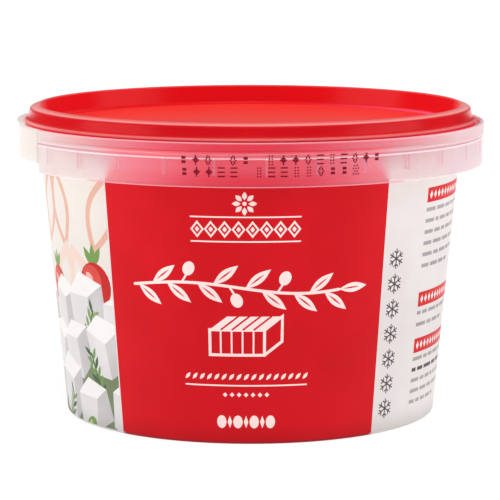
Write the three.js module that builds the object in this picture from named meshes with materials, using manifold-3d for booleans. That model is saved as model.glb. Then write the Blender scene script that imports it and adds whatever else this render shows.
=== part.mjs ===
// A shut round tub for a block of soft white cheese in brine, at its real size in millimetres.
// The tub stands on Z = 0 with +Z up, and its printed front faces -Y.
// Three pieces show: the moulded tub with its tamper collar, the label round its wall, and the lid.
import * as THREE from "three";
import { mergeVertices } from "three/addons/utils/BufferGeometryUtils.js";
import Module from "manifold-3d";

const wasm = await Module();
wasm.setup();

// Driving dimensions
const SEGMENTS = 72;
const COLLAR_RADIUS = 50.0;
const FOOT_RADIUS = 39.66;
const WALL_DRAFT = 0.094;
const LEDGE_TOP = 60.3;
const LEDGE_THICKNESS = 1.0;
const COLLAR_TOP = 62.8;
const COLLAR_BOTTOM = 53.9;
const LID_TOP = 66.0;
const LID_FLOOR = 61.7;
const CONTENTS_TOP = 60.1;

// Foot of the tub
const BASE_RECESS = 1.2;
const FOOT_INNER = 37.2;
const FOOT_SLOPE = 0.9;
const FOOT_CORNER = 0.4;

// Tamper collar: a plain upper band, a small shoulder, and a skirt that hangs clear of the wall
const SHOULDER_TOP = 60.35;
const SHOULDER_DROP = 0.8;
const SKIRT_OUTER = COLLAR_RADIUS - 0.28;
const SKIRT_INNER = SKIRT_OUTER - 0.8;
const EDGE_ROUND = 0.3;
const GROOVE_OUTER = COLLAR_RADIUS - 0.9;

// Rim that the lid snaps over
const RIM_OUTER = 46.6;
const RIM_INNER = 46.0;
const RIM_TOP = 64.9;
const RIM_FOOT_INNER = 45.75;

// Ribs under the ledge
const RIB_COUNT = 30;
const RIB_PHASE_DEG = 3.7;
const RIB_THICKNESS = 0.5;
const RIB_BOTTOM = 55.9;
const RIB_OVERLAP = 0.25;
const RIB_FREE_DEG = 2;

// Tear tab in the collar, in degrees from the front, positive towards +X
const TAB_FROM_DEG = -99.5;
const TAB_TO_DEG = -64.5;
const TAB_BOTTOM = 55.5;
const TAB_OUTER = COLLAR_RADIUS - 0.05;
const SLIT_WIDTH_DEG = 0.6;
const SLIT_REACH = 0.35;
const TIE_INSET_DEG = 1;
const TIE_INSET = 0.1;

// Label moulded into the wall, with a butt seam at the back
const LABEL_BOTTOM = 0.5;
const LABEL_TOP = 55.6;
const LABEL_THICKNESS = 0.2;
const LABEL_GAP = 0.1;
const LABEL_SEAM_DEG = 142;
const LABEL_SEAM_WIDTH = 0.8;

// Lid: a sunk floor, a rounded channel over the rim, and a flange just above the collar
const CREST_RADIUS = 46.1;
const CREST_ROUND = 1.1;
const CHANNEL_GAP = 0.3;
const NECK_RADIUS = 47.25;
const NECK_TOP = 64.2;
const NECK_FOOT_RADIUS = 47.5;
const NECK_FOOT = 63.8;
const FLANGE_RADIUS = 48.25;
const FLANGE_TOP = 63.2;
const FLANGE_BOTTOM = 62.9;
const FLANGE_ROUND = 0.15;
const LID_SKIRT_OUTER = 48.1;
const LID_SKIRT_INNER = 47.2;
const LID_SKIRT_BOTTOM = 60.7;
const LID_SKIRT_DRAFT = 0.1;
const LID_PANEL_BOTTOM = 60.5;
const LID_PANEL_RADIUS = 45.4;
const FLOOR_RADIUS = 43.5;
const FLOOR_FILLET = 0.7;

// How far a cutting shape reaches past what it cuts, and how close two vertices are one
const CUT_MARGIN = 2;
const WELD = 1e-4;

const degrees = THREE.MathUtils.degToRad;

/** Outer radius of the tapered wall at height z. */
const wallRadius = (z) => FOOT_RADIUS + WALL_DRAFT * z;

/** Points [radius, height] on an arc about (cr, cz), from one angle to another in degrees. */
function arc(cr, cz, round, fromDeg, toDeg, steps) {
  return Array.from({ length: steps + 1 }, (_, i) => {
    const a = degrees(fromDeg + ((toDeg - fromDeg) * i) / steps);
    return [cr + round * Math.cos(a), cz + round * Math.sin(a)];
  });
}

/** Turns a profile of [radius, height] points about the Z axis into one closed geometry. */
function turned(profile) {
  const points = profile.map(([r, z]) => new THREE.Vector2(Math.max(r, 0), z));
  return new THREE.LatheGeometry(points, SEGMENTS).rotateX(Math.PI / 2);
}

/** A ring sector between two radii, heights and angles from the front, as an extruded shape. */
function sector(inner, outer, bottom, top, fromDeg, toDeg) {
  const from = degrees(fromDeg - 90);
  const to = degrees(toDeg - 90);
  const shape = new THREE.Shape();
  shape.absarc(0, 0, outer, from, to, false);
  shape.absarc(0, 0, inner, to, from, true);
  const curveSegments = Math.max(2, Math.round(((toDeg - fromDeg) * SEGMENTS) / 360));
  const solid = new THREE.ExtrudeGeometry(shape, {
    depth: top - bottom,
    bevelEnabled: false,
    curveSegments,
  });
  return solid.translate(0, 0, bottom);
}

/** An upright box that runs outwards between two radii at an angle from the front. */
function radialBlade(inner, outer, bottom, top, thickness, angleDeg) {
  const blade = new THREE.BoxGeometry(outer - inner, thickness, top - bottom);
  blade.translate((inner + outer) / 2, 0, (bottom + top) / 2);
  return blade.rotateZ(degrees(angleDeg - 90));
}

/** A closed geometry as a solid that can be cut and joined. */
function toSolid(geometry) {
  const bare = geometry.clone();
  bare.deleteAttribute("normal");
  bare.deleteAttribute("uv");
  const merged = mergeVertices(bare, WELD);
  return new wasm.Manifold(
    new wasm.Mesh({
      numProp: 3,
      vertProperties: merged.attributes.position.array,
      triVerts: new Uint32Array(merged.index.array),
    }),
  );
}

/** The solid's triangles as a geometry again. */
function toGeometry(solid) {
  const { vertProperties, triVerts } = solid.getMesh();
  const geometry = new THREE.BufferGeometry();
  geometry.setAttribute("position", new THREE.BufferAttribute(vertProperties, 3));
  geometry.setIndex(new THREE.BufferAttribute(triVerts, 1));
  geometry.computeVertexNormals();
  return geometry;
}

/** The filled tub's half section: foot, wall with its label recess, skirt, collar, rim, contents. */
function tubProfile() {
  const ledgeBottom = LEDGE_TOP - LEDGE_THICKNESS;
  const recess = LABEL_THICKNESS + LABEL_GAP;
  const recessBottom = LABEL_BOTTOM - LABEL_GAP;
  const recessTop = LABEL_TOP + LABEL_GAP;
  const draftDeg = THREE.MathUtils.radToDeg(Math.atan(WALL_DRAFT));
  const cornerCentre = wallRadius(FOOT_CORNER) - FOOT_CORNER;
  const rimRadius = (RIM_OUTER + RIM_INNER) / 2;
  const rimRound = (RIM_OUTER - RIM_INNER) / 2;
  return [
    [0, BASE_RECESS],
    [FOOT_INNER - FOOT_SLOPE, BASE_RECESS],
    [FOOT_INNER, 0],
    ...arc(cornerCentre, FOOT_CORNER, FOOT_CORNER, -90, -draftDeg, 4),
    [wallRadius(recessBottom), recessBottom],
    [wallRadius(recessBottom) - recess, recessBottom],
    [wallRadius(recessTop) - recess, recessTop],
    [wallRadius(recessTop), recessTop],
    [wallRadius(ledgeBottom), ledgeBottom],
    [SKIRT_INNER, ledgeBottom],
    [SKIRT_INNER, COLLAR_BOTTOM + EDGE_ROUND],
    [SKIRT_INNER + EDGE_ROUND, COLLAR_BOTTOM],
    [SKIRT_OUTER - EDGE_ROUND, COLLAR_BOTTOM],
    [SKIRT_OUTER, COLLAR_BOTTOM + EDGE_ROUND],
    [SKIRT_OUTER, SHOULDER_TOP - SHOULDER_DROP],
    [COLLAR_RADIUS, SHOULDER_TOP],
    [COLLAR_RADIUS, COLLAR_TOP - EDGE_ROUND],
    [COLLAR_RADIUS - EDGE_ROUND, COLLAR_TOP],
    [GROOVE_OUTER + EDGE_ROUND, COLLAR_TOP],
    [GROOVE_OUTER, COLLAR_TOP - EDGE_ROUND],
    [GROOVE_OUTER, LEDGE_TOP],
    [RIM_OUTER, LEDGE_TOP],
    ...arc(rimRadius, RIM_TOP - rimRound, rimRound, 0, 180, 4),
    [RIM_FOOT_INNER, CONTENTS_TOP],
    [0, CONTENTS_TOP],
  ];
}

/** The lid's half section, from under its floor round the skirt and over the crest to the middle. */
function lidProfile() {
  const rimRadius = (RIM_OUTER + RIM_INNER) / 2;
  const rimRound = (RIM_OUTER - RIM_INNER) / 2;
  return [
    [0, LID_PANEL_BOTTOM],
    [LID_PANEL_RADIUS, LID_PANEL_BOTTOM],
    ...arc(rimRadius, RIM_TOP - rimRound, rimRound + CHANNEL_GAP, 180, 0, 6),
    [LID_SKIRT_INNER, LID_SKIRT_BOTTOM],
    [LID_SKIRT_OUTER - LID_SKIRT_DRAFT, LID_SKIRT_BOTTOM],
    [LID_SKIRT_OUTER, FLANGE_BOTTOM - LID_SKIRT_DRAFT],
    [FLANGE_RADIUS, FLANGE_BOTTOM],
    [FLANGE_RADIUS, FLANGE_TOP - FLANGE_ROUND],
    [FLANGE_RADIUS - FLANGE_ROUND, FLANGE_TOP],
    [NECK_FOOT_RADIUS, NECK_FOOT],
    [NECK_RADIUS, NECK_TOP],
    ...arc(CREST_RADIUS, LID_TOP - CREST_ROUND, CREST_ROUND, 0, 180, 8),
    ...arc(FLOOR_RADIUS, LID_FLOOR + FLOOR_FILLET, FLOOR_FILLET, -12, -90, 3),
    [0, LID_FLOOR],
  ];
}

/** The label's half section: a thin skin that follows the wall's taper. */
function labelProfile() {
  const corner = (z, inset) => [wallRadius(z) - inset, z];
  return [
    corner(LABEL_BOTTOM, 0),
    corner(LABEL_TOP, 0),
    corner(LABEL_TOP, LABEL_THICKNESS),
    corner(LABEL_BOTTOM, LABEL_THICKNESS),
    corner(LABEL_BOTTOM, 0),
  ];
}

/** Thin blades that tie the skirt to the wall under the ledge, except behind the tear tab. */
function ribs() {
  const inner = wallRadius(RIB_BOTTOM) - RIB_OVERLAP;
  const outer = SKIRT_INNER + RIB_OVERLAP;
  const top = LEDGE_TOP - LEDGE_THICKNESS + RIB_OVERLAP;
  const made = [];
  for (let i = 0; i < RIB_COUNT; i++) {
    const turn = RIB_PHASE_DEG + (i * 360) / RIB_COUNT;
    const angle = turn > 180 ? turn - 360 : turn;
    if (angle > TAB_FROM_DEG - RIB_FREE_DEG && angle < TAB_TO_DEG + RIB_FREE_DEG) continue;
    made.push(toSolid(radialBlade(inner, outer, RIB_BOTTOM, top, RIB_THICKNESS, angle)));
  }
  return made;
}

/** Cuts the collar free between two slits and puts the plain tear tab there, tied to the ledge. */
function withTearTab(tub) {
  const cut = sector(
    SKIRT_INNER - SLIT_REACH,
    COLLAR_RADIUS + CUT_MARGIN,
    COLLAR_BOTTOM - CUT_MARGIN,
    COLLAR_TOP + CUT_MARGIN,
    TAB_FROM_DEG - SLIT_WIDTH_DEG,
    TAB_TO_DEG + SLIT_WIDTH_DEG,
  );
  const tab = sector(SKIRT_INNER, TAB_OUTER, TAB_BOTTOM, COLLAR_TOP, TAB_FROM_DEG, TAB_TO_DEG);
  const tie = sector(
    SKIRT_INNER - 2 * SLIT_REACH,
    SKIRT_INNER + SLIT_REACH,
    LEDGE_TOP - LEDGE_THICKNESS + TIE_INSET,
    LEDGE_TOP - TIE_INSET,
    TAB_FROM_DEG + TIE_INSET_DEG,
    TAB_TO_DEG - TIE_INSET_DEG,
  );
  return tub.subtract(toSolid(cut)).add(toSolid(tab)).add(toSolid(tie));
}

/** The moulded tub with what fills it: the turned body, its ribs and its tear tab. */
function makeTub() {
  const turnedTub = toSolid(turned(tubProfile()));
  const ribbed = ribs().reduce((whole, rib) => whole.add(rib), turnedTub);
  return toGeometry(withTearTab(ribbed));
}

/** The label: a ring of film, parted at its seam. */
function makeLabel() {
  const seam = radialBlade(
    wallRadius(LABEL_BOTTOM) - CUT_MARGIN,
    wallRadius(LABEL_TOP) + CUT_MARGIN,
    LABEL_BOTTOM - CUT_MARGIN,
    LABEL_TOP + CUT_MARGIN,
    LABEL_SEAM_WIDTH,
    LABEL_SEAM_DEG,
  );
  return toGeometry(toSolid(turned(labelProfile())).subtract(toSolid(seam)));
}

/** The lid, turned in one piece. */
function makeLid() {
  return turned(lidProfile());
}

/** One named mesh with its plastic's or film's colour. */
function piece(name, geometry, color, roughness) {
  const material = new THREE.MeshStandardMaterial({ color, roughness, metalness: 0 });
  const mesh = new THREE.Mesh(geometry, material);
  mesh.name = name;
  return mesh;
}

const group = new THREE.Group();
group.add(piece("tub", makeTub(), 0xf3edeb, 0.35));
group.add(piece("label", makeLabel(), 0xd9202b, 0.4));
group.add(piece("lid", makeLid(), 0xe0232b, 0.35));

export default group;
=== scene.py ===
# %% [markdown]
# # A shut tub of feta, dressed in Blender
#
# The real object is a thin moulded tub of milky polypropylene with a printed film on its wall, a
# tamper collar that hangs round its rim, and a red lid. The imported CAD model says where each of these
# is. This lesson replaces each plain solid with a smooth surface and gives it the finish of the real
# plastic. Everything round is a profile turned about Z, because that is how the mould was cut.

# %% Load the frame
import math

import bmesh
import bpy
import numpy as np
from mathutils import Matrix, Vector
from mathutils.geometry import delaunay_2d_cdt


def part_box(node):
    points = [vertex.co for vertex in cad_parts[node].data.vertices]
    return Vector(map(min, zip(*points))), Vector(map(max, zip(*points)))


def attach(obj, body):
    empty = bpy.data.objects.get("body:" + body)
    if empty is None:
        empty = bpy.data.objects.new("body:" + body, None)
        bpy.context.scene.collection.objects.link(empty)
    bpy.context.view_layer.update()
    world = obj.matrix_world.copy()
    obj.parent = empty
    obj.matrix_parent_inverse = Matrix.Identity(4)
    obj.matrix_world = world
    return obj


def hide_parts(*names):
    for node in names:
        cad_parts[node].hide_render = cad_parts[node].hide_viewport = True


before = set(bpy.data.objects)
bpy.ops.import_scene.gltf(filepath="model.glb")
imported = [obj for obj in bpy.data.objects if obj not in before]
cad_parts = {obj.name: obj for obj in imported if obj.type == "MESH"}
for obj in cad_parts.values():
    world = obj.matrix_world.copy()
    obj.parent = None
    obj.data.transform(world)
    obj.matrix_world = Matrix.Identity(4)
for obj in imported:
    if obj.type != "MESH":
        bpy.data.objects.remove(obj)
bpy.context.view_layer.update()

MM = 0.001

# %% [markdown]
# Sizes come from the frame. The tub's box gives the collar's radius, the lid's box the crest's height
# and the flange's radius, and the label's box where the film starts and ends. The rest are the small
# sizes of the moulding itself: heights and radii in millimetres, and places round the tub in degrees
# from the middle of the front. They follow the solids to within a fraction of a millimetre.

# %% Driving dimensions
collar_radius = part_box("tub")[1].y / MM
rim_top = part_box("tub")[1].z / MM
lid_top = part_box("lid")[1].z / MM
lid_skirt_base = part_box("lid")[0].z / MM
flange_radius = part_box("lid")[1].y / MM
label_bottom, label_top = (corner.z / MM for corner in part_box("label"))
wall_draft = 0.094
foot_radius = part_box("label")[1].y / MM - wall_draft * label_top

ledge_top = 60.45
ledge_bottom = 59.3
collar_top = 62.45
collar_bottom = 53.55
shoulder_base = 59.5
skirt_outer = collar_radius - 0.28
skirt_inner = skirt_outer - 0.8
band_inner = collar_radius - 0.9
ledge_edge = skirt_inner - 0.35
rim_radius = 46.3
rim_half = 0.3
contents_top = 60.1
lid_floor = 61.7
recess_foot, recess_edge = 43.5, 45.0
lid_neck = 47.2
flange_base = 62.5
tab_from, tab_to = -99.5, -61.6
ear_to = -75.5
slit = 0.4
tab_bottom = 55.5
ear_top = 62.9
RIB_COUNT, RIB_PHASE, RIB_BOTTOM = 30, 3.7, 55.9
COLUMNS = 288
print(f"radii: collar {collar_radius:.2f}, flange {flange_radius:.2f}, foot {foot_radius:.2f}")
print(f"heights: rim {rim_top:.2f}, lid {lid_top:.2f}, film {label_bottom:.1f} to {label_top:.1f}")

# %% [markdown]
# The camera stands where the photographer's did: a long lens, half a metre away, looking down a few
# degrees. The numbers come from fitting a pinhole camera to the ellipses of lid, collar and foot.

# %% Camera
CAMERA_PLACE = (-0.00006, -0.5455, 0.1150)
CAMERA_PITCH = 8.45
FOCAL_PIXELS, FRAME_PIXELS = 2549.0, 500.0

camera_data = bpy.data.cameras.new("camera")
camera_data.sensor_width = 36.0
camera_data.lens = FOCAL_PIXELS / FRAME_PIXELS * camera_data.sensor_width
camera_data.clip_start = 0.01
camera = bpy.data.objects.new("camera", camera_data)
camera.location = CAMERA_PLACE
camera.rotation_euler = (math.radians(90 - CAMERA_PITCH), 0, 0)
bpy.context.scene.collection.objects.link(camera)
bpy.context.scene.camera = camera
print(f"lens {camera_data.lens:.1f} mm")

# %% [markdown]
# One helper wraps a socket of a material, so that a formula such as 1 - mask can be written as it is
# read. Adding two wires adds a Math node; blend() is the Mix node for colours, which a Math node would
# turn grey. Every other node comes from add(), which sets the node up before it is wired.

# %% Shader arithmetic
class Wire:
    """One output socket of a material; sums and products on it become Math nodes."""

    def __init__(self, socket):
        self.socket = socket

    def add(self, kind, settings=None, values=None, out=0):
        """A new node: its settings first, then the values or wires of its sockets."""
        tree = self.socket.id_data
        made = tree.nodes.new(kind)
        for key, value in (settings or {}).items():
            setattr(made, key, value)
        for key, value in (values or {}).items():
            if isinstance(value, Wire):
                tree.links.new(value.socket, made.inputs[key])
            else:
                made.inputs[key].default_value = value
        return Wire(made.outputs[out])

    def math(self, operation, *others):
        """A Math node on this wire and the others, each a wire or a number."""
        return self.add("ShaderNodeMath", {"operation": operation}, dict(enumerate((self, *others))))

    def __add__(self, other):
        return self.math("ADD", other)

    def __mul__(self, other):
        return self.math("MULTIPLY", other)

    __radd__ = __add__
    __rmul__ = __mul__

    def __sub__(self, other):
        return self.math("SUBTRACT", other)

    def __rsub__(self, other):
        return self.math("MULTIPLY_ADD", -1.0, other)

    def __truediv__(self, other):
        return self.math("DIVIDE", other)

    def __abs__(self):
        return self.math("ABSOLUTE")

    def held(self, low, high):
        """This wire, kept between low and high."""
        return self.math("MAXIMUM", low).math("MINIMUM", high)

    def rise(self, low, high):
        """Smooth step: 0 below low, 1 above high, and an S curve between."""
        return self.add(
            "ShaderNodeMapRange",
            {"interpolation_type": "SMOOTHSTEP"},
            {"Value": self, "From Min": low, "From Max": high},
        )

    def within(self, low, high, soft):
        """1 between low and high and 0 outside, with edges that are soft wide."""
        return self.rise(low - soft, low + soft) * (1 - self.rise(high - soft, high + soft))

    def blend(self, a, b):
        """The colour a where this wire is 0 and b where it is 1."""
        return self.add("ShaderNodeMix", {"data_type": "RGBA"}, {"Factor": self, 6: a, 7: b}, out=2)

    def noise(self, scale, detail=2.0):
        """Noise at this place, about 0 to 1; scale is in features per metre."""
        return self.add("ShaderNodeTexNoise", None, {"Vector": self, "Scale": scale, "Detail": detail})


def srgb(red, green, blue):
    """A colour as seen on screen, 0 to 255, as the linear values that a shader takes."""
    share = np.array([red, green, blue]) / 255.0
    linear = np.where(share <= 0.04045, share / 12.92, ((share + 0.055) / 1.055) ** 2.4)
    return (*(float(v) for v in linear), 1.0)


def start_material(name):
    """An empty material, and in it the place on the object, in the object's own metres, as a wire."""
    material = bpy.data.materials.new(name)
    material.use_nodes = True
    nodes = material.node_tree.nodes
    nodes.clear()
    return material, Wire(nodes.new("ShaderNodeTexCoord").outputs["Object"])


def principled(place, values):
    """The Principled shader, with these values or wires in its sockets."""
    return place.add("ShaderNodeBsdfPrincipled", None, values)


def finish_material(material, shader):
    """Wires the shader to the material's output, and hands the finished material back."""
    tree = material.node_tree
    output = tree.nodes.new("ShaderNodeOutputMaterial")
    tree.links.new(shader.socket, output.inputs["Surface"])
    print(f"{material.name}: {len(tree.nodes)} nodes")
    return material


def cylinder_wires(place):
    """Azimuth from the front in degrees, radius and height in millimetres, from a place in metres."""
    split = place.add("ShaderNodeSeparateXYZ", None, {"Vector": place}).socket.node
    x, y, z = (Wire(split.outputs[k]) for k in range(3))
    azimuth = x.math("ARCTAN2", y * -1.0) * math.degrees(1.0)
    radius = (x * x + y * y).math("SQRT") / MM
    return azimuth, radius, z / MM


def turned_away(place):
    """0 where the surface faces the eye and 1 where it is seen edge on."""
    return place.add("ShaderNodeLayerWeight", None, {"Blend": 0.5}, out="Facing")


def bump(height, strength, distance_mm):
    """A normal wire from a height wire that is distance_mm high at strength 1."""
    values = {"Height": height, "Strength": strength, "Distance": distance_mm * MM}
    return height.add("ShaderNodeBump", None, values)


# %% [markdown]
# Turning is the shape of the whole tub. A profile is a list of radius and height; its corners are
# arcs, because a moulded edge is never sharp and the thin highlights in the photograph sit on those
# rounds. Each column of the grid is the profile at one angle, so the mesh needs no loop over vertices.

# %% Profiles and turning
def arc(radius, height, size, start, end, steps=8):
    """Points on a circle of the given size about (radius, height), from start to end in degrees."""
    angles = np.radians(np.linspace(start, end, steps + 1))
    return np.stack([radius + size * np.cos(angles), height + size * np.sin(angles)], axis=1)


def line(*points):
    """Straight runs through the given (radius, height) points."""
    return np.array(points, float)


def turned(profile, start=-180.0, end=180.0):
    """Point (i, j) is (r_i sin a_j, -r_i cos a_j, z_i), with a_j stepping from start to end.

    A full turn joins its last column to its first. A part turn is closed by a cap at each end.
    The profile is a closed loop, given anticlockwise in radius and height, or it starts and ends
    on the axis, where each row of points then becomes one pole.
    """
    full = end - start >= 360.0
    steps = round(COLUMNS * (end - start) / 360.0)
    columns = steps if full else steps + 1
    angles = np.radians(start + (end - start) * np.arange(columns) / steps)
    radius, height = profile.T
    grid = np.stack(
        [
            np.outer(radius, np.sin(angles)),
            np.outer(radius, -np.cos(angles)),
            np.outer(height, np.ones(columns)),
        ],
        axis=-1,
    )
    ids = np.arange(grid.shape[0] * columns).reshape(-1, columns)
    on_axis = radius[0] == 0 and radius[-1] == 0
    lower = ids[:-1] if on_axis else ids
    upper = ids[1:] if on_axis else np.roll(ids, -1, axis=0)
    along = np.arange(steps)
    across = (along + 1) % columns
    quads = np.stack([lower[:, along], lower[:, across], upper[:, across], upper[:, along]], axis=-1)
    faces = quads.reshape(-1, 4).tolist()
    if not full:
        faces += [ids[:, 0].tolist(), ids[::-1, -1].tolist()]
    return grid.reshape(-1, 3) * MM, faces


def weld(mesh, distance=1e-8):
    """Merges points that coincide, which closes poles, and drops faces that this leaves flat."""
    soup = bmesh.new()
    soup.from_mesh(mesh)
    bmesh.ops.remove_doubles(soup, verts=soup.verts, dist=distance)
    soup.to_mesh(mesh)
    soup.free()


def place_piece(name, mesh, node):
    """The object of this mesh, riding on the root body in place of a CAD node."""
    piece = bpy.data.objects.new(name, mesh)
    bpy.context.scene.collection.objects.link(piece)
    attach(piece, "root")
    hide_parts(node)
    print(f"{name}: {len(mesh.polygons)} faces")
    return piece


def make_piece(name, points, faces, material, node, slot, sharp=40.0):
    """A smooth piece of these points and faces, welded at its poles, with its big faces leading."""
    mesh = bpy.data.meshes.new(name)
    mesh.from_pydata(np.asarray(points).tolist(), [], faces)
    weld(mesh)
    mesh.shade_smooth()
    mesh.set_sharp_from_angle(angle=math.radians(sharp))
    mesh.materials.append(material)
    piece = place_piece(name, mesh, node)
    weighted = piece.modifiers.new("weighted", "WEIGHTED_NORMAL")
    weighted.keep_sharp = True


def wall(height):
    """Radius of the tapered wall at a height."""
    return foot_radius + wall_draft * height


# %% [markdown]
# The plastics. Lid and tub are the same polypropylene, one coloured and one natural. Coloured
# polypropylene still lets some light through: where the lid is thin or seen edge on, at its crest and
# flange, it goes from red to a pale pink. So the lid's base colour is blended towards pink there, as
# painted light: painted highlight lines on crest and flange, stronger on the left, and a painted glow
# where the lid is seen edge on. The recess floor, its inner wall and the skirt in the collar's groove
# are painted lighter reds, as if better lit, and the fillet at the back right has a painted highlight.

# %% Red polypropylene of the lid
def lid_plastic():
    """Red with painted light: highlight lines on crest and flange, a pale glow seen edge on, lighter
    floor, inner wall and skirt, and a pink highlight on the fillet.
    """
    material, place = start_material("lid_red_plastic")
    azimuth, radius, height = cylinder_wires(place)
    away = turned_away(place)
    cloud = place.noise(45.0, 3.0)
    grain = place.noise(2600.0)
    on_floor = 1 - height.rise(lid_floor + 0.1, lid_floor + 0.6)
    floor = on_floor * (1 - radius.rise(recess_foot - 0.5, recess_foot + 0.3))
    inside = 1 - radius.rise(recess_edge + 0.2, recess_edge + 0.8)
    skirt = radius.rise(lid_neck + 0.1, lid_neck + 0.4)
    skirt = skirt * (1 - height.rise(flange_base - 0.3, flange_base))
    # Painted light: the crest and flange masks place painted highlight lines, the flange's stronger on
    # the left side, and the ring seen edge on gets a painted pale glow; all blend the red towards pink.
    crest = radius.rise(recess_edge, recess_edge + 0.3) * height.rise(lid_top - 0.65, lid_top - 0.45)
    crest = crest * (1 - height.rise(lid_top - 0.35, lid_top - 0.1) * 0.6)
    flange = radius.rise(lid_neck + 0.5, lid_neck + 0.9)
    flange = flange * height.rise(flange_base - 0.1, flange_base + 0.2)
    left_lit_side = azimuth.within(-110.0, -60.0, 15.0)
    ring = radius.rise(recess_foot + 0.3, recess_foot + 1.1)
    ring = ring * height.rise(lid_floor + 1.3, lid_floor + 2.9)
    # Painted highlight: a pink line on the fillet at the back right of the recess.
    fillet = radius.within(recess_foot, recess_foot + 0.7, 0.2) * azimuth.within(60.0, 140.0, 35.0)
    lid_painted_light = crest * 0.55 + flange * (left_lit_side * 0.35 + 0.34) + ring * away.rise(0.7, 1.0) * 0.6
    lid_painted_light = lid_painted_light.held(0.0, 0.85)
    red = cloud.rise(0.3, 0.7).blend(srgb(194, 14, 22), srgb(204, 20, 28))
    # Painted light: the inner wall, the recess floor and the lid's skirt in the collar's groove are
    # painted lighter reds than the outer wall, as if better lit.
    red_with_lit_inner_wall = inside.blend(red, srgb(218, 18, 26))
    body = skirt.blend(floor.blend(red_with_lit_inner_wall, srgb(240, 58, 50)), srgb(232, 32, 56))
    body = (fillet * 0.9).blend(body, srgb(248, 92, 130))
    values = {
        "Base Color": lid_painted_light.blend(body, srgb(252, 168, 166)),
        "Roughness": cloud * 0.08 + 0.18,
        "Specular IOR Level": 0.06,
        "Normal": bump(grain, 0.2, 0.01),
    }
    return finish_material(material, principled(place, values))


lid_red = lid_plastic()

# %% [markdown]
# Natural polypropylene is milky: it blurs whatever is behind it, and the longer the way through it, the
# whiter it looks. Real refraction through a rough wall would show that, slowly and with noise. Here the
# same look is made from its two parts. What stands behind the collar carries soft tints, red behind the
# red panels and pale beside them, and the collar in front of it is a mix of clear and milk. The tints
# are partly painted glow: they turn pinker towards the lid, and they light up the bare wall and the
# groove, which lie in the collar's shade. The collar carries painted highlights along its edges and
# below its shoulder, and a painted wavy reflection. Light comes through the tear tab from behind, so
# that even its shaded edges are nearly white: it glows a little, a painted glow.
# Faint lines down the collar's skirt show where the ribs meet it. The two pairs of numbers below say
# where the red panels of the label begin and end, in degrees.

# %% What shows behind the collar
FRONT_FROM, FRONT_TO = -41.0, 38.6
BACK_FROM, BACK_TO = 143.0, -137.0


def by_red(azimuth, height):
    """1 by the red panels and 0 beside them, with edges that close in and soften upwards."""
    above = (height - collar_bottom).held(0.0, 8.0)
    soft = above * 0.7 + 1.2
    inward = above * 0.6
    front = azimuth.within(FRONT_FROM + inward, FRONT_TO - inward, soft)
    back = 1 - azimuth.within(BACK_TO - inward, BACK_FROM + inward, soft)
    return (front + back).held(0.0, 1.0)


def tint_and_glow_behind_collar(azimuth, height):
    """The tint: red by the red panels and pale beside them, pinker towards the lid as a painted glow.
    """
    red = height.rise(54.0, 58.0).blend(srgb(236, 22, 44), srgb(254, 92, 106))
    pale = height.rise(54.5, 59.5).blend(srgb(230, 206, 200), srgb(226, 166, 172))
    return by_red(azimuth, height).blend(pale, red)


# %% Milky polypropylene of the tub
def tub_plastic():
    """Milky white, with the painted tint and glow under the collar, and painted shade at the foot's
    corner.
    """
    material, place = start_material("tub_milky_plastic")
    azimuth, radius, height = cylinder_wires(place)
    cloud = place.noise(60.0, 3.0)
    # Painted shade at the foot's corner below the film: the print's red, darkened, by the red panels,
    # and grey beside them.
    foot_print_and_shade = (1 - height.rise(0.6, 0.9)) * radius.rise(38.4, 39.0)
    red_side = azimuth.within(FRONT_FROM, FRONT_TO, 1.0) + 1 - azimuth.within(BACK_TO, BACK_FROM, 1.0)
    foot = red_side.blend(srgb(196, 190, 188), srgb(150, 16, 26))
    body = cloud.rise(0.3, 0.7).blend(srgb(230, 223, 220), srgb(238, 232, 228))
    lower = foot_print_and_shade.blend(body, foot)
    under_collar = height.rise(collar_bottom - 0.75, collar_bottom + 0.05)
    values = {
        "Base Color": under_collar.blend(lower, tint_and_glow_behind_collar(azimuth, height)),
        "Roughness": cloud * 0.1 + 0.28,
        "Specular IOR Level": 0.2,
    }
    return finish_material(material, principled(place, values))


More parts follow.
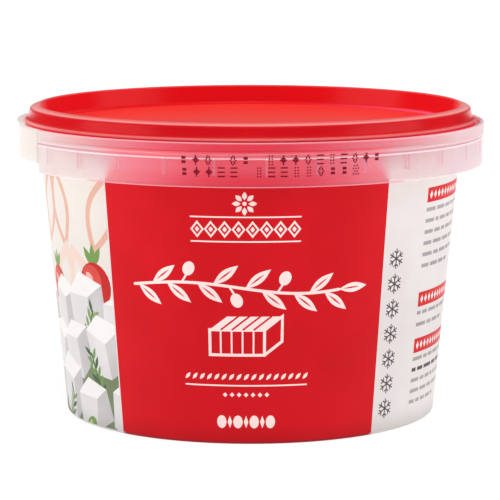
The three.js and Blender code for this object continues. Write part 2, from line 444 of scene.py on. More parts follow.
# %% Translucent polypropylene of the collar
def collar_plastic():
    """Clear mixed with milk, which thickens edge on and at edges, shoulder, rib lines and tab; with
    painted highlights on the edges and below the shoulder, a painted wavy reflection and a painted glow
    in the groove.
    """
    material, place = start_material("collar_translucent_plastic")
    azimuth, radius, height = cylinder_wires(place)
    cloud = place.noise(90.0, 3.0)
    away = turned_away(place)
    shoulder = height.within(shoulder_base, shoulder_base + 0.3, 0.06)
    # Painted highlights: a glint line below the shoulder and lines of light along the top and low
    # edges; the wavy line is a painted reflection.
    glint = height.within(shoulder_base - 0.42, shoulder_base - 0.08, 0.08)
    tab = azimuth.within(tab_from - 0.4, tab_to + 0.4, 0.2)
    top_edge_light = height.rise(collar_top - 0.4, collar_top - 0.2) * (1 - tab)
    low_edge_light = 1 - height.rise(collar_bottom + 0.1, collar_bottom + 0.3)
    edges = (top_edge_light + low_edge_light).held(0.0, 1.0)
    ripple = place.noise(55.0)
    wavy = 1 - abs(height - (59.8 + ripple * 0.6)).rise(0.08, 0.2)
    # Folded like this, the azimuth counts the degrees from the nearest rib.
    from_rib = (azimuth - RIB_PHASE).math("PINGPONG", 180.0 / RIB_COUNT)
    rib = (1 - from_rib.rise(0.1, 0.3)) * height.within(RIB_BOTTOM, shoulder_base, 0.15)
    rib = rib * radius.rise(skirt_outer - 0.2, skirt_outer - 0.1)
    milk = away * 1.6 + 0.06 + shoulder * 0.35 + glint * 0.5 + edges * 0.35 + wavy * 0.2 + rib * 0.4
    milk = (milk + (cloud - 0.5) * 0.08 + tab * 0.8).held(0.03, 0.95)
    # The way through the collar crosses two faces, so each lets through the root of what both do.
    share = 1 - (1 - milk).math("SQRT")
    cool = away.rise(0.0, 0.35)
    right = azimuth.rise(-30.0, 60.0)
    plain = cool.blend(srgb(220, 196, 222), right.blend(srgb(222, 208, 206), srgb(222, 196, 200)))
    mauve = (shoulder + rib).held(0.0, 1.0).blend(plain, srgb(204, 148, 164))
    tinted = (glint + wavy * 0.5).held(0.0, 1.0).blend(mauve, srgb(246, 224, 228))
    # The painted edge lights: the top one pink in front and paler at the sides, the low one pink by the
    # red panels and pale beside them.
    sides = abs(azimuth).rise(35.0, 75.0)
    top_pink = sides.blend(srgb(244, 166, 180), srgb(246, 214, 218))
    low_pale = by_red(azimuth, height).blend(srgb(246, 236, 233), srgb(250, 158, 172))
    bright = edges.blend(tinted, top_edge_light.blend(low_pale, top_pink))
    # Painted glow: the groove's floor, in shade under the lid's flange, takes the tint and glow that
    # stand behind the collar.
    inner_side = 1 - radius.rise(band_inner, band_inner + 0.1)
    groove_glow = height.within(ledge_top - 0.1, ledge_top + 0.35, 0.04) * inner_side
    bright = groove_glow.blend(bright, tint_and_glow_behind_collar(azimuth, height))
    values = {
        "Base Color": tab.blend(bright, srgb(174, 166, 160)),
        "Roughness": cloud * 0.08 + 0.18,
        "Specular IOR Level": 0.12,
        # The tab's emission is a painted glow for the light that comes through it.
        "Emission Color": tab.blend((0, 0, 0, 1), srgb(255, 248, 243)),
        "Emission Strength": 0.38,
    }
    milky = principled(place, values)
    clear = place.add("ShaderNodeBsdfTransparent", None, {"Color": (1, 1, 1, 1)})
    plastic = place.add("ShaderNodeMixShader", None, {0: share, 1: clear, 2: milky})
    # The lamps shine through it nearly as if it were all clear.
    lamp_ray = place.add("ShaderNodeLightPath", out="Is Shadow Ray")
    shader = place.add("ShaderNodeMixShader", None, {0: lamp_ray * 0.85, 1: plastic, 2: clear})
    return finish_material(material, shader)


# %% Milky polypropylene of the thin ribs
def rib_plastic():
    """Faint pink milk, which fades out from the skirt towards the wall."""
    material, place = start_material("rib_thin_plastic")
    radius = cylinder_wires(place)[1]
    cloud = place.noise(120.0)
    near = radius.rise(skirt_inner - 1.3, skirt_inner - 0.1)
    values = {
        "Base Color": cloud.blend(srgb(234, 140, 160), srgb(244, 160, 178)),
        "Roughness": 0.3,
        "Alpha": near * (cloud * 0.15 + 0.2),
    }
    return finish_material(material, principled(place, values))


tub_milky = tub_plastic()
collar_clear = collar_plastic()
rib_thin = rib_plastic()

# %% [markdown]
# The lid is turned in one piece: a sunk floor, a wall that leans out to a crest with two rounded
# edges, a neck and a flange that overhangs the collar's groove. Its hidden side lies a plastic's
# thickness below the floor and then rides over the tub's rim, so that the mesh is one closed body.

# %% Lid
def lid_profile():
    """From the hidden middle out to the skirt and flange, up to the crest and back to the middle."""
    thick, over_rim, chamfer = 1.2, 0.3, 0.1
    fillet, inner_round, outer_round, flange_round = 1.0, 0.55, 0.7, 0.15
    skirt_radius = 48.0
    return np.concatenate(
        [
            line((0, lid_floor - thick), (45.3, lid_floor - thick)),
            arc(rim_radius, rim_top - rim_half, rim_half + over_rim, 180, 0, 10),
            line((lid_neck, lid_skirt_base + chamfer), (lid_neck + chamfer, lid_skirt_base)),
            line((skirt_radius - chamfer, lid_skirt_base), (skirt_radius, lid_skirt_base + chamfer)),
            line((skirt_radius + 0.08, flange_base), (flange_radius - 0.08, flange_base + 0.1)),
            arc(flange_radius - flange_round, flange_base + 0.25, flange_round, -40, 75, 5),
            line((lid_neck + 0.55, flange_base + 0.7), (lid_neck + 0.25, flange_base + 1.1)),
            arc(lid_neck - outer_round, lid_top - 1.15, outer_round, 0, 72, 8),
            arc(recess_edge + inner_round, lid_top - inner_round, inner_round, 100, 180, 8),
            arc(recess_foot, lid_floor + fillet, fillet, -14, -90, 8),
            line((0, lid_floor)),
        ]
    )


make_piece("lid_shell", *turned(lid_profile()), lid_red, "lid", "lid")

# %% [markdown]
# The tub's body: a foot ring round a shallow recess, the tapered wall with a shallow bed for the film,
# the ledge and the rim under the lid. It is closed at the level of the contents, because the pack is
# shut and can't be seen into.

# %% Tub body
FILM_THICKNESS = 0.05


def body_profile():
    """From the middle of the foot's recess out and up the wall, over ledge and rim, to the contents."""
    recess_radius, recess_height, ring_radius = 36.0, 1.2, 37.35
    corner, small, step = 0.4, 0.2, 0.02
    bed = FILM_THICKNESS + 0.01
    draft = math.atan(wall_draft)
    centre = wall(corner) - corner / math.cos(draft)
    under_ledge = ledge_bottom - corner
    return np.concatenate(
        [
            line((0, recess_height)),
            arc(recess_radius, recess_height - small, small, 90, 45, 3),
            arc(ring_radius, 0.15, 0.15, 225, 270, 3),
            arc(centre, corner, corner, -90, -math.degrees(draft), 6),
            line((wall(label_bottom - step), label_bottom - step)),
            line((wall(label_bottom) - bed, label_bottom), (wall(label_top) - bed, label_top)),
            line((wall(label_top + step), label_top + step)),
            arc(wall(under_ledge) + corner, under_ledge, corner, 180 - math.degrees(draft), 90, 5),
            line((ledge_edge, ledge_bottom), (ledge_edge, ledge_top)),
            arc(rim_radius + rim_half + small, ledge_top + small, small, 270, 180, 3),
            arc(rim_radius, rim_top - rim_half, rim_half, 0, 180, 8),
            line((45.75, contents_top), (0, contents_top)),
        ]
    )


make_piece("tub_body", *turned(body_profile()), tub_milky, "tub", "tub")

# %% [markdown]
# The collar hangs from the ledge: an upper band round the lid's skirt, a small shoulder, and a skirt
# that stands clear of the wall. It stops at two slits, and the plain tear tab fills the space between,
# with a taller ear at its far end for the fingers.

# %% Collar and tear tab
def collar_profile():
    """From the ledge down inside the skirt, up its outside, round the band and back to the ledge."""
    edge, fillet, joined = 0.3, 0.25, ledge_edge - 0.07
    return np.concatenate(
        [
            line((joined, ledge_bottom), (skirt_inner - 0.3, ledge_bottom)),
            arc(skirt_inner - fillet, ledge_bottom - fillet, fillet, 90, 0, 5),
            arc(skirt_inner + edge, collar_bottom + edge, edge, 180, 270, 6),
            arc(skirt_outer - edge, collar_bottom + edge, edge, 270, 360, 6),
            arc(skirt_outer + 0.12, shoulder_base, 0.12, 180, 110, 4),
            arc(collar_radius - 0.15, ledge_top - 0.1, 0.15, -60, 0, 4),
            arc(collar_radius - edge, collar_top - edge, edge, 0, 90, 6),
            arc(band_inner + edge, collar_top - edge, edge, 90, 180, 6),
            arc(band_inner - edge, ledge_top + edge, edge, 0, -90, 5),
            line((joined, ledge_top)),
        ]
    )


def tab_profile(top):
    """A plain upright blade with round edges, as thick as the band and the skirt together."""
    edge = 0.3
    outer = collar_radius - 0.05
    return np.concatenate(
        [
            arc(skirt_inner + edge, tab_bottom + edge, edge, 180, 270, 6),
            arc(outer - edge, tab_bottom + edge, edge, 270, 360, 6),
            arc(outer - edge, top - edge, edge, 0, 90, 6),
            arc(skirt_inner + edge, top - edge, edge, 90, 180, 6),
        ]
    )


collar_turn = turned(collar_profile(), tab_to + slit, 360.0 + tab_from - slit)
make_piece("tub_collar", *collar_turn, collar_clear, "tub", "tub")
tab_turn = turned(tab_profile(collar_top), ear_to, tab_to)
make_piece("tear_tab", *tab_turn, collar_clear, "tub", "tub")
ear_turn = turned(tab_profile(ear_top), tab_from, ear_to)
make_piece("tear_tab_ear", *ear_turn, collar_clear, "tub", "tub")

# %% [markdown]
# Under the ledge thin blades tie skirt and wall. They repeat every twelve degrees and stop short of the
# tear tab. One box is made and all turned copies are worked out as one array.

# %% Ribs
RIB_THICKNESS = 0.5


def rib_boxes():
    """Each rib is a box along its radius, turned: (d sin a + t cos a, -d cos a + t sin a, z)."""
    turns = RIB_PHASE + 360.0 / RIB_COUNT * np.arange(RIB_COUNT)
    turns = (turns + 180.0) % 360.0 - 180.0
    clear, sunk = 2.0, 0.2
    turns = np.radians(turns[(turns < tab_from - clear) | (turns > tab_to + clear)])
    near, far = wall(RIB_BOTTOM) - sunk, skirt_inner + sunk
    half = RIB_THICKNESS / 2
    reach = np.array([near, far, far, near, near, far, far, near])
    side = np.array([-half, -half, half, half, -half, -half, half, half])
    height = np.array([RIB_BOTTOM] * 4 + [ledge_bottom + sunk] * 4)
    x = np.outer(np.sin(turns), reach) + np.outer(np.cos(turns), side)
    y = np.outer(-np.cos(turns), reach) + np.outer(np.sin(turns), side)
    points = np.stack([x, y, np.broadcast_to(height, x.shape)], axis=-1).reshape(-1, 3) * MM
    box = np.array([[3, 2, 1, 0], [4, 5, 6, 7], [0, 1, 5, 4], [1, 2, 6, 5], [2, 3, 7, 6], [3, 0, 4, 7]])
    faces = (box[None] + 8 * np.arange(len(turns))[:, None, None]).reshape(-1, 4)
    return points, faces.tolist()


make_piece("collar_ribs", *rib_boxes(), rib_thin, "tub", "tub")

# %% [markdown]
# The label is a film moulded into the wall. Its print is laid out flat, in millimetres round the wall
# and up it, as outlines in painting order. A constrained triangulation then makes one flat map of
# them all, in which every triangle belongs to the last ink that covers it, and the map is wrapped on
# the cone. So every edge of the print is as sharp as real print, with no layer floating over another.

# %% Drawing tools
SHEET_RADIUS = 42.3
DEGREES_PER_MM = math.degrees(1.0) / SHEET_RADIUS
SEAM_AZIMUTH = 142.0
SEAM_AT = SEAM_AZIMUTH / DEGREES_PER_MM
SHEET_TURN = 360.0 / DEGREES_PER_MM
FILM_GAP = 0.2
SHEET_LEFT = SEAM_AT - SHEET_TURN + FILM_GAP
SHEET_RIGHT = SEAM_AT - FILM_GAP
layers = []


def paint(ink, *groups):
    """Lays groups of outlines on the sheet, over everything painted before."""
    layers.extend((ink, outline) for group in groups for outline in group)


def field(left, low, right, high):
    """A rectangle of the sheet."""
    return [np.array([(left, low), (right, low), (right, high), (left, high)], float)]


def turned_about(x, z, along, across, turn):
    """Offsets along and across a direction that leans turn degrees, as points of the sheet."""
    c, s = math.cos(math.radians(turn)), math.sin(math.radians(turn))
    return np.stack([x + along * c - across * s, z + along * s + across * c], axis=1)


def disc(x, z, size, stretch=1.0, turn=0.0, steps=24):
    """An ellipse about (x, z): size from its middle to its edge, stretch times that across.

    With four steps it is a lozenge.
    """
    a = np.linspace(0, 2 * np.pi, steps, endpoint=False)
    return [turned_about(x, z, size * np.cos(a), size * stretch * np.sin(a), turn)]


def leaf(x, z, length, width, turn, steps=8):
    """A pointed oval that starts at (x, z); its half width is a half wave of the sine."""
    t = np.linspace(0, 1, steps + 1)
    bulge = width / 2 * np.sin(np.pi * t)
    along = length * np.concatenate([t, t[-2:0:-1]])
    across = np.concatenate([-bulge, bulge[-2:0:-1]])
    return [turned_about(x, z, along, across, turn)]


def stroke(points, width, closed=False):
    """A pen line with mitred corners: one quad for each run, and a round cap at each open end."""
    path = np.asarray(points, float)
    ahead = np.roll(path, -1, axis=0) - path
    behind = np.roll(ahead, 1, axis=0)
    if not closed:
        ahead[-1], behind[0] = behind[-1], ahead[0]
    ahead = ahead / np.linalg.norm(ahead, axis=1)[:, None]
    behind = behind / np.linalg.norm(behind, axis=1)[:, None]
    mitre = ahead + behind
    mitre /= np.maximum(np.linalg.norm(mitre, axis=1), 1e-6)[:, None]
    reach = width / 2 / np.maximum(np.sum(mitre * ahead, axis=1), 0.5)
    side = np.stack([-mitre[:, 1], mitre[:, 0]], axis=1) * reach[:, None]
    left, right = path + side, path - side
    first = np.arange(len(path) if closed else len(path) - 1)
    last = (first + 1) % len(path)
    quads = np.stack([right[first], right[last], left[last], left[first]], axis=1)
    caps = [] if closed else [disc(x, z, width / 2, steps=10)[0] for x, z in path[[0, -1]]]
    return list(quads) + caps


# %% [markdown]
# The front and back panels are plain red with fine pale line work: a rosette, a lozenge band, a long
# olive branch, a sliced block of cheese, a few rows of small marks and a rule. The branch is one wave
# with leaves on either side in turn, all leaning the way that it grows.

# %% Red panels
PANEL_HALF = 29.6
PEN = 0.6
OLIVES = (3, 6, 9)


def row_of(shape, left, right, pitch):
    """Paints shape(x) in pale ink at even steps from left to right."""
    for x in np.linspace(left, right, round((right - left) / pitch) + 1):
        paint("pale", shape(x))


def rosette(x, z):
    """Eight petals about a disc."""
    for turn in range(0, 360, 45):
        c, s = math.cos(math.radians(turn)), math.sin(math.radians(turn))
        paint("pale", leaf(x + 0.75 * c, z + 0.75 * s, 1.65, 0.95, turn))
    paint("pale", disc(x, z, 0.42))


def lozenge_band(left, right, low, high, count):
    """A row of lozenges with red and pale hearts, touching at their tips, between two rules."""
    half = (right - left) / count / 2
    stretch = (high - low) / 2 / half
    for x in left + half * (2 * np.arange(count) + 1):
        for ink, share in (("pale", 1.0), ("red", 0.66), ("pale", 0.34)):
            paint(ink, disc(x, (low + high) / 2, half * share, stretch, 0, 4))
    for level in (low - 0.9, high + 0.6):
        paint("pale", field(left, level, right, level + 0.3))


def branch_height(x, left, right, height):
    """One wave of the sine from left to right."""
    return height + 1.1 * np.sin((x - left) / (right - left) * 2 * np.pi)


def olive_branch(left, right, height, pairs):
    """A wavy stem with long leaves up and down in turn, and an olive in place of a few of them."""
    x = np.linspace(left, right - 5.0, 40)
    paint("pale", stroke(np.stack([x, branch_height(x, left, right, height)], axis=1), PEN))
    spots = np.linspace(left + 1.0, right - 5.0, 2 * pairs)
    for k, spot in enumerate(spots):
        foot = branch_height(spot, left, right, height)
        up = 1 if k % 2 else -1
        lean = 4.0 if k == len(spots) - 1 else 38.0 * up
        if k in OLIVES:
            paint("pale", stroke([(spot, foot), (spot + 1.0, foot + up * 1.6)], PEN * 0.7))
            paint("pale", disc(spot + 1.5, foot + up * 2.9, 1.5, 0.8, up * 65.0))
            continue
        paint("pale", leaf(spot, foot, 6.4, 2.0, lean))
        paint("red", leaf(spot + 0.9, foot + 0.9 * math.tan(math.radians(lean)), 3.8, 0.34, lean, 4))


def sliced_block(x, z):
    """A block of cheese cut in slices: a pale top with red cuts, and a front in outline."""
    wide, tall, back, lift = 11.2, 5.2, 3.6, 2.8
    front = [(x, z), (x + wide, z), (x + wide, z + tall), (x, z + tall)]
    far = [(x + back, z + tall + lift), (x + wide + back, z + tall + lift), (x + wide + back, z + lift)]
    paint("pale", [np.array([front[3], front[2], far[1], far[0]])])
    paint("pale", stroke(front, PEN, closed=True), stroke([front[2], far[1], far[2], front[1]], PEN))
    for share in (0.2, 0.4, 0.6, 0.8):
        cut = x + share * wide
        paint("pale", stroke([(cut, z), (cut, z + tall)], PEN * 0.6))
        paint("red", stroke([(cut + 0.15, z + tall + 0.1), (cut + back, z + tall + lift)], PEN * 0.6))


def red_panel(middle):
    """One red panel and its line work, drawn about the given middle of the sheet."""
    paint("red", field(middle - PANEL_HALF, label_bottom, middle + PANEL_HALF, label_top))
    rosette(middle - 0.2, 49.8)
    lozenge_band(middle - 10.8, middle + 10.8, 42.8, 46.3, 8)
    olive_branch(middle - 23.6, middle + 24.2, 32.4, 7)
    sliced_block(middle - 7.4, 18.7)
    row_of(lambda x: leaf(x - 0.45, 13.5, 1.7, 0.7, 50.0), middle - 12.4, middle + 12.4, 1.55)
    paint("pale", field(middle - 12.9, 12.16, middle + 12.9, 12.47))
    row_of(lambda x: disc(x, 10.4, 0.5, 1.0, 0, 4), middle - 4.4, middle + 4.4, 1.47)
    row_of(lambda x: disc(x, 4.7, 1.0, 1.35), middle - 5.2, middle + 5.2, 3.47)
    row_of(lambda x: disc(x, 4.7, 0.5, 2.6, 0, 4), middle - 3.47, middle + 3.47, 3.47)


# %% [markdown]
# The picture panel is a kitchen still life in flat fields of colour: broken blocks of white cheese,
# slices of radish, green olives and rosemary, under large soft outlines of leaves.

# %% Picture panel
def broken_block(x, z, wide, tall, turn, chance):
    """A block of cheese from above its corner: two cut faces and a bright top, all broken uneven."""
    near, side, far = 0.56, 0.14, 0.22
    along = wide * np.array([0.0, near, 1.0, 1.0, near, 0.0, 0.45])
    across = wide * np.array([side, 0.0, far, far, 0.0, side, 0.4])
    across += tall * np.array([0, 0, 0, 1, 1, 1, 1])
    crack = chance.uniform(-0.07, 0.07, (2, 7)) * wide
    corners = turned_about(x, z, along + crack[0], across + crack[1], turn)
    paint("cheese_shade", [corners[[1, 2, 3, 4]]])
    paint("cheese_mid", [corners[[0, 1, 4, 5]]])
    paint("cheese_light", [corners[[5, 4, 3, 6]]])


def radish(x, z, size):
    """A whole radish: leaves, a red ball with a lighter side, and a gleam."""
    for turn in (60, 90, 125):
        paint("leaf", leaf(x, z + 0.8 * size, 1.0 * size, 0.34 * size, turn))
    paint("radish_red", disc(x, z, size))
    paint("radish_light", disc(x - 0.2 * size, z + 0.15 * size, 0.66 * size, 1.1))
    paint("blush", disc(x - 0.32 * size, z + 0.36 * size, 0.26 * size, 0.6, -30.0))


def olive(x, z, size, turn):
    """A green olive with a gleam and a red filling."""
    paint("leaf", disc(x, z, size, 0.72, turn))
    paint("leaf_pale", disc(x - 0.2 * size, z + 0.25 * size, 0.4 * size, 0.4, turn))
    paint("radish_red", disc(x + 0.62 * size, z + 0.08 * size, 0.2 * size))


def rosemary(x, z, length, turn):
    """A stem with narrow leaves leaning off it left and right."""
    c, s = math.cos(math.radians(turn)), math.sin(math.radians(turn))
    paint("leaf_dark", stroke([(x, z), (x + length * c, z + length * s)], 0.5))
    for k, along in enumerate(np.linspace(0.1, 0.95, 10) * length):
        lean = turn + (38 if k % 2 else -38)
        ink = "leaf" if k % 3 else "leaf_dark"
        paint(ink, leaf(x + along * c, z + along * s, 3.2, 0.95, lean))


def picture_panel(left, right):
    """From the back: leaf outlines, radishes, then three rows of blocks, rosemary and olives."""
    paint("cream", field(left, label_bottom, right, label_top))
    paint("leaf_shade", field(left, label_bottom, right, 19.0))
    for k, x in enumerate(np.arange(right - 4.5, left, -11.0)):
        upper = leaf(x, 38.0, 16.5, 7.0, 100.0 if k % 2 else 72.0, 14)[0]
        lower = leaf(x - 3.0, 25.0, 13.0, 7.0, 76.0 if k % 2 else 112.0, 14)[0]
        paint("peach", stroke(upper, 1.4, closed=True))
        paint("peach_pale", stroke(lower, 2.2, closed=True))
    for x, z, size in ((-36.0, 30.6, 5.0), (-53.0, 28.5, 4.4), (-68.5, 30.8, 5.2), (-90.0, 29.8, 5.0)):
        radish(x, z, size)
    chance = np.random.default_rng(11)
    for row, height in enumerate((18.5, 9.0, -1.0)):
        for x in np.arange(left - 2.0 - 5.5 * (row % 2), right, 11.5):
            shift, lift, turn = chance.uniform(-1, 1, 3) * (1.0, 0.9, 9.0)
            wide, tall = chance.uniform(11.5, 13.5), chance.uniform(7.0, 9.0)
            broken_block(x + shift, height + lift, wide, tall, turn, chance)
        for x in np.arange(left + 9.0 + 6.0 * row, right - 2.0, 25.0):
            rosemary(x, height - 3.0, 10.5, 66.0 + 44.0 * (row % 2))
        for x in np.arange(left + 20.0 + 7.0 * row, right - 3.0, 25.0):
            olive(x, height + 1.0, 2.5, 20.0 * row)


# %% [markdown]
# The side panel is fine and busy: rows under red headings, a column of snow stars for keeping it cold,
# and a table. Its rows are only a texture at this size, so each is a run of grey dashes of uneven
# length, and each heading is a red bar with a few pale lozenges.

# %% Side panel
def dashes(left, right, base, size, ink, chance):
    """One row of dashes from left to right, size high and of uneven length, with even gaps."""
    lengths = chance.uniform(1.5, 4.5, 30)
    starts = left + np.cumsum(lengths + 0.7) - lengths - 0.7
    ends = np.minimum(starts + lengths, right)
    for start, end in zip(starts, ends):
        if end - start > 0.7:
            paint(ink, field(start, base, end, base + size))


def small_print(left, right, top, pitch, rows, chance, dark_row=None):
    """Rows of dashes, the last one cut short."""
    for row in range(rows):
        end = right if row < rows - 1 else left + 0.6 * (right - left)
        ink = "print_dark" if row == dark_row else "print_grey"
        dashes(left, end, top - 0.5 - pitch * row, 0.8, ink, chance)


def heading(left, right, low):
    """A red bar with pale lozenges along most of it."""
    paint("red", field(left, low, right, low + 3.1))
    row_of(lambda x: disc(x, low + 1.55, 0.6, 1.5, 0, 4), left + 1.5, right - 5.0, 1.65)


def snow_star(x, z, reach):
    """Three pen lines through one middle, with a small barb on either side of each tip."""
    for turn in range(30, 390, 60):
        c, s = math.cos(math.radians(turn)), math.sin(math.radians(turn))
        tip = (x + reach * c, z + reach * s)
        paint("print_dark", stroke([(x, z), tip], 0.3))
        for lean in (turn - 50, turn + 50):
            fork = (x + 0.55 * reach * c, z + 0.55 * reach * s)
            away = 0.4 * reach * np.array([math.cos(math.radians(lean)), math.sin(math.radians(lean))])
            paint("print_dark", stroke([fork, fork + away], 0.26))


def side_panel(left, right):
    """Stars at the left, three headed groups of rows, and a headed table of ten lines."""
    chance = np.random.default_rng(5)
    for z in np.linspace(5.2, 36.8, 7):
        snow_star(left + 3.6, z, 2.0)
    column, edge = left + 12.4, left + 36.0
    heading(column, edge, 47.5)
    small_print(column, edge, 46.1, 2.36, 6, chance)
    heading(column, edge, 25.5)
    small_print(column, edge, 24.3, 2.5, 2, chance)
    heading(column, edge, 15.6)
    small_print(column, edge, 14.4, 2.3, 5, chance, 1)
    low, high, first, last = 7.4, 51.0, left + 43.0, right - 6.0
    heading(first, last, high)
    frame_line = [(first, low), (last, low), (last, high), (first, high)]
    paint("print_grey", stroke(frame_line, 0.3, closed=True))
    lines = np.linspace(low, high, 11)
    for z in lines[1:-1]:
        paint("print_grey", field(first, z - 0.12, last, z + 0.12))
    for z in lines[:-1]:
        dashes(first + 1.5, first + 15.0, z + 1.6, 0.8, "print_grey", chance)
        dashes(last - 7.5, last - 1.5, z + 1.6, 0.8, "print_grey", chance)


# %% The whole sheet
FRONT_MIDDLE = -0.9
BACK_LEFT, BACK_RIGHT = -160.2, -101.1
BACK_MIDDLE = (BACK_LEFT + BACK_RIGHT) / 2
MARGIN = 0.3
picture_left = BACK_MIDDLE + PANEL_HALF + MARGIN
picture_right = FRONT_MIDDLE - PANEL_HALF - MARGIN
paint("film", field(SHEET_LEFT, label_bottom, SHEET_RIGHT, label_top))
picture_panel(picture_left, picture_right)
paint("film", field(picture_right, label_bottom, SHEET_RIGHT, label_top))
paint("film", field(SHEET_LEFT, label_bottom, picture_left, label_top))
red_panel(FRONT_MIDDLE)
red_panel(BACK_MIDDLE)
side_panel(FRONT_MIDDLE + PANEL_HALF, SHEET_RIGHT)
print(f"sheet {SHEET_LEFT:.1f} to {SHEET_RIGHT:.1f} mm, {len(layers)} outlines")

# %% [markdown]
# Each ink is a material of its own, with the slight unevenness of print, and painted shade: a little
# darker low on the wall, which turns away from the light there, and a little lighter high up. Where the
# film runs up behind the collar, its print fades into the same soft tint and painted glow as the wall
# has, because the milky skirt blurs it.

# %% Inks
def film_material(name, colour, other):
    """One ink: two close colours in soft clouds, darker low and lighter high as painted shade."""
    material, place = start_material(name)
    azimuth, _, height = cylinder_wires(place)
    cloud = place.noise(70.0, 3.0)
    grain = place.noise(1800.0)
    even = cloud.rise(0.35, 0.65).blend(colour, other)
    # Painted shade: the colour is scaled darker towards the foot and a little lighter high on the wall.
    painted_shading = height.rise(-1.5, 5.0) * 0.26 + height.rise(15.0, 50.0) * 0.1 + 0.69
    printed_with_shade = even.add("ShaderNodeVectorMath", {"operation": "SCALE"}, {0: even, "Scale": painted_shading})
    under_collar = height.rise(collar_bottom - 0.35, collar_bottom + 0.35)
    values = {
        "Base Color": under_collar.blend(printed_with_shade, tint_and_glow_behind_collar(azimuth, height)),
        "Roughness": cloud * 0.1 + 0.34,
        "Specular IOR Level": 0.12,
        "Normal": bump(grain, 0.15, 0.01),
    }
    return finish_material(material, principled(place, values))


INKS = {
    "film": ((219, 211, 209), (225, 218, 215)),
    "cream": ((221, 213, 206), (226, 219, 212)),
    "red": ((202, 8, 22), (208, 11, 26)),
    "pale": ((250, 220, 216), (252, 228, 224)),
    "print_grey": ((152, 145, 148), (166, 159, 161)),
    "print_dark": ((70, 62, 68), (84, 76, 82)),
    "peach": ((216, 168, 150), (222, 176, 158)),
    "peach_pale": ((226, 200, 188), (230, 207, 195)),
    "radish_red": ((188, 36, 34), (202, 48, 42)),
    "radish_light": ((206, 72, 62), (216, 88, 76)),
    "blush": ((236, 168, 162), (240, 182, 174)),
    "leaf": ((112, 146, 76), (132, 162, 90)),
    "leaf_shade": ((112, 124, 92), (134, 144, 112)),
    "leaf_pale": ((176, 200, 128), (188, 210, 142)),
    "leaf_dark": ((66, 92, 64), (80, 104, 74)),
    "cheese_light": ((230, 227, 225), (236, 233, 231)),
    "cheese_mid": ((212, 208, 208), (222, 218, 218)),
    "cheese_shade": ((186, 181, 182), (202, 197, 197)),
}

# %% [markdown]
# The film's two sides and its cut edges make it a closed sheet, and its normals are those of the exact
# cone, so that the flat triangles don't show.

# %% Film
SHEET_CUTS = 260


def holds(outline, spots):
    """Whether each spot is inside: a ray to its right crosses the outline an odd number of times."""
    ax, az = outline.T
    bx, bz = np.roll(outline, -1, axis=0).T
    x, z = spots[:, :1], spots[:, 1:]
    drop = np.where(az == bz, 1.0, bz - az)
    crossed = ((az > z) != (bz > z)) & (x < (bx - ax) * (z - az) / drop + ax)
    return crossed.sum(axis=1) % 2 == 1


def sheet_map():
    """One flat map of all the outlines, cut at every degree or so: points, triangles and inks.

    A triangle takes the ink of the last outline that holds its middle.
    """
    points, faces, edges = [], [], []
    for _, outline in layers:
        faces.append(list(range(len(points), len(points) + len(outline))))
        points.extend(map(tuple, outline))
    for x in np.linspace(SHEET_LEFT, SHEET_RIGHT, SHEET_CUTS)[1:-1]:
        edges.append((len(points), len(points) + 1))
        points += [(x, label_bottom), (x, label_top)]
    flat = delaunay_2d_cdt([Vector(p) for p in points], edges, faces, 0, 1e-5)
    spots, triangles = np.array([tuple(v) for v in flat[0]]), np.array(flat[2])
    middles = spots[triangles].mean(axis=1)
    order = list(INKS)
    inks = np.zeros(len(triangles), int)
    for ink, outline in layers:
        reached = (middles > outline.min(axis=0)) & (middles < outline.max(axis=0))
        near = np.flatnonzero(reached.all(axis=1))
        inks[near[holds(outline, middles[near])]] = order.index(ink)
    film = (middles > (SHEET_LEFT, label_bottom)) & (middles < (SHEET_RIGHT, label_top))
    film = film.all(axis=1)
    used, corners = np.unique(triangles[film], return_inverse=True)
    return spots[used], corners.reshape(-1, 3), inks[film]


def make_label():
    """Wraps the map on the wall: x goes to the angle x / SHEET_RADIUS, and z to the wall's radius."""
    spots, faces, inks = sheet_map()
    angle = np.radians(spots[:, 0] * DEGREES_PER_MM)
    outward = np.stack([np.sin(angle), -np.cos(angle), np.full(len(angle), -wall_draft)], axis=1)
    outward /= math.hypot(1.0, wall_draft)
    radius = wall(spots[:, 1])
    skin = np.stack([radius * np.sin(angle), -radius * np.cos(angle), spots[:, 1]], axis=1)
    count = len(skin)
    sides = np.concatenate([faces[:, [0, 1]], faces[:, [1, 2]], faces[:, [2, 0]]])
    lonely = ~np.isin(sides[:, 0] * count + sides[:, 1], sides[:, 1] * count + sides[:, 0])
    start, end = sides[lonely].T
    hem_inks = np.tile(inks, 3)[lonely]
    hem = np.stack([end, start, start + count, end + count], axis=1)
    mesh = bpy.data.meshes.new("label_film")
    points = np.concatenate([skin, skin - outward * FILM_THICKNESS]) * MM
    back = faces[:, ::-1] + count
    mesh.from_pydata(points.tolist(), [], faces.tolist() + back.tolist() + hem.tolist())
    mesh.shade_smooth()
    for name, (colour, other) in INKS.items():
        mesh.materials.append(film_material("print_" + name, srgb(*colour), srgb(*other)))
    blank = np.zeros(len(faces), int)
    mesh.polygons.foreach_set("material_index", np.concatenate([inks, blank, hem_inks]))
    mesh.normals_split_custom_set_from_vertices(np.concatenate([outward, -outward]).tolist())
    place_piece("label_film", mesh, "label")


make_label()

# %% [markdown]
# The packing line sprays small dots of ink on the collar, in marks five dots wide and seven high. The
# marks are plain shapes: lozenges, stripes, spots, blocks and zigzags. Each dot is a low eight-sided
# stud, and all are one array.

# %% Ink dots on the collar
DOT_RADIUS, DOT_HEIGHT, DOT_SIDES, DOT_PITCH = 0.165, 0.03, 8, 0.28
DOT_SUNK, DOT_PROUD = 0.02, 0.02
MARK_PITCH = 2.85
MARK_ROWS = ((-15.3, 17, 59.05, (3, 6)), (-15.1, 15, 56.7, (5,)))


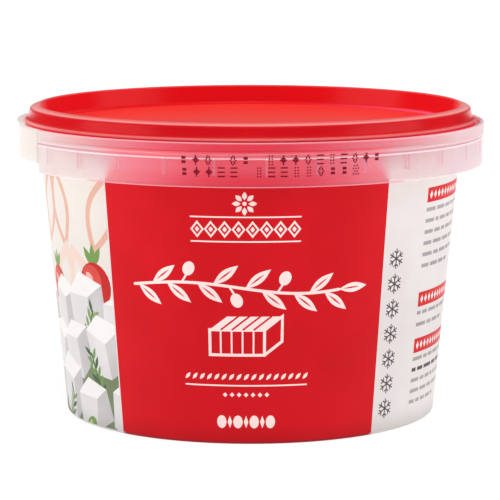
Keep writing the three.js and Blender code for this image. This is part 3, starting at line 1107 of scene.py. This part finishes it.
def mark_shapes():
    """Plain shapes on a grid of five by seven, each a rule on the column c and the row r."""
    c, r = np.meshgrid(np.arange(-2, 3), np.arange(-3, 4), indexing="ij")
    across, up = np.abs(c), np.abs(r)
    rules = (
        1.5 * across + up <= 3,
        np.abs(1.5 * across + up - 3) < 0.8,
        up % 3 == 0,
        (across == 1) & (up % 2 == 1),
        (across <= 1) & (up % 3 > 0),
        np.isin(r - 2 * (across % 2), (-3, 1)),
    )
    return [np.stack([c[rule], r[rule]], axis=1) for rule in rules]


def dot_places():
    """Azimuth in degrees and height in millimetres of each dot.

    Each row of marks has its first azimuth, its number of marks, its height and its gaps.
    """
    chance = np.random.default_rng(3)
    shapes = mark_shapes()
    places = []
    for start, count, middle, gaps in MARK_ROWS:
        for k in range(count):
            shape = shapes[chance.integers(len(shapes))] * DOT_PITCH
            if k not in gaps:
                azimuth = start + MARK_PITCH * k + np.degrees(shape[:, 0] / skirt_outer)
                places.append(np.stack([azimuth, middle + shape[:, 1]], axis=1))
    return np.concatenate(places)


def ink_dots():
    """Studs whose rims are circles about each place, in and out along the collar's radius.

    They follow the skirt up on to the shoulder, and none stands proud of the collar's own radius.
    """
    azimuth, height = dot_places().T
    turn = np.linspace(0, 2 * np.pi, DOT_SIDES, endpoint=False)
    angle = np.radians(azimuth)[:, None] + DOT_RADIUS * np.cos(turn) / skirt_outer
    level = height[:, None] + DOT_RADIUS * np.sin(turn)
    shoulder_rise = 0.35
    on_shoulder = np.clip((level - shoulder_base) / shoulder_rise, 0, 1)
    surface = skirt_outer + (collar_radius - skirt_outer) * on_shoulder
    rings = [
        np.stack([radius * np.sin(angle), -radius * np.cos(angle), level], axis=-1)
        for radius in (surface - DOT_SUNK, np.minimum(surface + DOT_HEIGHT, collar_radius + DOT_PROUD))
    ]
    points = np.concatenate(rings, axis=1)
    first = 2 * DOT_SIDES * np.arange(len(azimuth))[:, None]
    ring = np.arange(DOT_SIDES)
    after = np.roll(ring, -1)
    sides = np.stack([ring, after, after + DOT_SIDES, ring + DOT_SIDES], axis=-1)
    faces = (first[:, :, None] + sides).reshape(-1, 4).tolist()
    faces += (first + ring + DOT_SIDES).tolist() + (first + ring[::-1]).tolist()
    return points.reshape(-1, 3) * MM, faces


def dot_ink():
    """Dark red ink, a little speckled."""
    material, place = start_material("jet_ink")
    speckle = place.noise(1500.0)
    values = {
        "Base Color": speckle.blend(srgb(104, 0, 28), srgb(132, 8, 40)),
        "Roughness": 0.6,
        "Specular IOR Level": 0.1,
    }
    return finish_material(material, principled(place, values))


make_piece("jet_ink_dots", *ink_dots(), dot_ink(), "tub", "tub")

# %% [markdown]
# The studio: a pale floor, a sky that is bright overhead and dark round the horizon, and soft suns to
# the left, the right and above. The suns stand well to the sides, so that the wall is a little deeper
# in the middle, and the dark horizon keeps the red pure, because glossy plastic shows what stands
# before it. The floor glows a little, as a lit table does, so that hardly a shadow is left on it.

# %% Stage and light
def floor_material():
    """A pale table top that glows."""
    material, place = start_material("studio_floor")
    mottle = place.noise(3.0)
    pale = mottle.blend((0.28, 0.28, 0.28, 1), (0.3, 0.3, 0.3, 1))
    values = {
        "Base Color": pale,
        "Roughness": 1.0,
        "Specular IOR Level": 0.0,
        "Emission Color": (1, 1, 1, 1),
        "Emission Strength": 0.76,
    }
    return finish_material(material, principled(place, values))


def make_floor(half=4.0):
    """A square, half metres to each side of the tub."""
    corners = [(-half, -half, 0), (half, -half, 0), (half, half, 0), (-half, half, 0)]
    mesh = bpy.data.meshes.new("studio_floor")
    mesh.from_pydata(corners, [], [(0, 1, 2, 3)])
    mesh.materials.append(floor_material())
    floor = bpy.data.objects.new("studio_floor", mesh)
    bpy.context.scene.collection.objects.link(floor)


def soft_sun(name, azimuth, elevation, spread, power):
    """A lamp at no distance, azimuth degrees to the right of the camera's side, spread degrees wide."""
    data = bpy.data.lights.new(name, "SUN")
    data.angle = math.radians(spread)
    data.energy = power
    lamp = bpy.data.objects.new(name, data)
    a, e = math.radians(azimuth), math.radians(elevation)
    toward = Vector((math.sin(a) * math.cos(e), -math.cos(a) * math.cos(e), math.sin(e)))
    lamp.rotation_euler = toward.to_track_quat("Z", "Y").to_euler()
    bpy.context.scene.collection.objects.link(lamp)
    return lamp


def studio_sky(low, high):
    """A world whose brightness rises from low at the horizon to high overhead."""
    world = bpy.data.worlds.new("studio_sky")
    world.use_nodes = True
    tree = world.node_tree
    direction = Wire(tree.nodes.new("ShaderNodeTexCoord").outputs["Generated"])
    height = direction.add("ShaderNodeSeparateXYZ", None, {"Vector": direction}, out=2)
    light = height.rise(0.0, 0.8).blend((low, low, low, 1), (high, high, high, 1))
    tree.links.new(light.socket, tree.nodes["Background"].inputs["Color"])
    bpy.context.scene.world = world


make_floor()
suns = [
    soft_sun("left_soft", azimuth=-74, elevation=20, spread=45, power=1.6),
    soft_sun("right_soft", azimuth=76, elevation=20, spread=45, power=1.4),
    soft_sun("top_soft", azimuth=10, elevation=72, spread=30, power=0.75),
]
studio_sky(low=0.1, high=0.75)
bpy.context.scene.view_settings.view_transform = "Standard"
print("suns:", ", ".join(lamp.name for lamp in suns))
